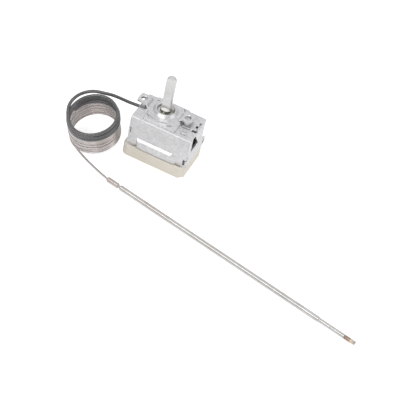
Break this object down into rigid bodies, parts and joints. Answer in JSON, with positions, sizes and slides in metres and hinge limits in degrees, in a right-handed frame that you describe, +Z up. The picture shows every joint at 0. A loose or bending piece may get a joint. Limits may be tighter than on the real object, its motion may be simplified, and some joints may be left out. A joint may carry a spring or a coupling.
{
  "type": "oven thermostat",
  "caption": "Capillary oven thermostat: folded steel housing on a ceramic switch base, D-shaft in a tapped mounting bridge, coiled capillary and long sensing bulb.",
  "frame": {"origin": "on the shaft's axis, at the underside of the ceramic base", "axes": "+Z up along the shaft, +X along the long side away from the capillary's inlet, +Y to the terminals' side"},
  "size_m": [0.2072, 0.0934, 0.0547],
  "materials": {
    "zinc_sheet": "zinc-plated pressed steel, satin",
    "bright_steel": "turned and plated steel",
    "ceramic": "unglazed cream steatite",
    "insulation": "pressed insulating board",
    "blade_brass": "plain brass",
    "stainless": "drawn stainless tube, slightly heat-tinted",
    "copper_tint": "brazed tube end with copper-coloured heat tint",
    "braided_sleeve": "dark grey braided glass sleeve"
  },
  "bodies": {
    "housing": {"housing_frame": "zinc_sheet", "end_plate_right": "zinc_sheet", "end_plate_left": "zinc_sheet", "mounting_bridge": "zinc_sheet", "plate_screw": "bright_steel", "threaded_bush": "bright_steel", "spring_washer": "bright_steel", "ceramic_base": "ceramic", "switch_cover": "insulation", "cover_rivets": "blade_brass", "terminal_load": "blade_brass", "terminal_fixed": "blade_brass", "fixed_contact": "bright_steel", "return_spring": "bright_steel", "sleeve_run": "braided_sleeve", "sleeve_coil": "braided_sleeve", "capillary_coil": "stainless", "capillary_run": "stainless", "bulb_ferrule": "stainless", "sensor_bulb": "stainless", "bulb_tip": "copper_tint"},
    "shaft": {"d_shaft": "bright_steel", "slotted_collar": "bright_steel"},
    "spindle": {"adjusting_spindle": "bright_steel"},
    "capsule": {"diaphragm_capsule": "stainless", "thrust_button": "stainless", "capillary_stub": "stainless"},
    "pin": {"push_pin": "ceramic"},
    "lever": {"contact_lever": "blade_brass", "moving_contact": "bright_steel"}
  },
  "joints": [
    {"name": "shaft_turn", "type": "hinge", "parent": "housing", "child": "shaft", "pos_m": [0, 0, 0.0285], "axis": [0, 0, -1], "range_deg": [0, 270]},
    {"name": "spindle_travel", "type": "slide", "parent": "shaft", "child": "spindle", "axis": [0, 0, 1], "range_m": [0, 0.00075]},
    {"name": "capsule_travel", "type": "slide", "parent": "housing", "child": "capsule", "axis": [0, 0, 1], "range_m": [0, 0.00076], "stiffness_N_per_m": 1, "springref_m": 0.0347},
    {"name": "pin_travel", "type": "slide", "parent": "housing", "child": "pin", "axis": [0, 0, -1], "range_m": [0, 0.0003], "stiffness_N_per_m": 300, "deforming": ["return_spring"]},
    {"name": "lever_tilt", "type": "hinge", "parent": "housing", "child": "lever", "pos_m": [-0.0056, 0, 0.006], "axis": [0, 1, 0], "range_deg": [0, 3.1]}
  ],
  "couplings": [
    {"joint": "shaft_turn", "follows": "spindle_travel", "rad_per_m": 6283.2},
    {"joint": "capsule_travel", "follows": "spindle_travel", "ratio": 1},
    {"joint": "lever_tilt", "follows": "pin_travel", "rad_per_m": 178.57}
  ]
}
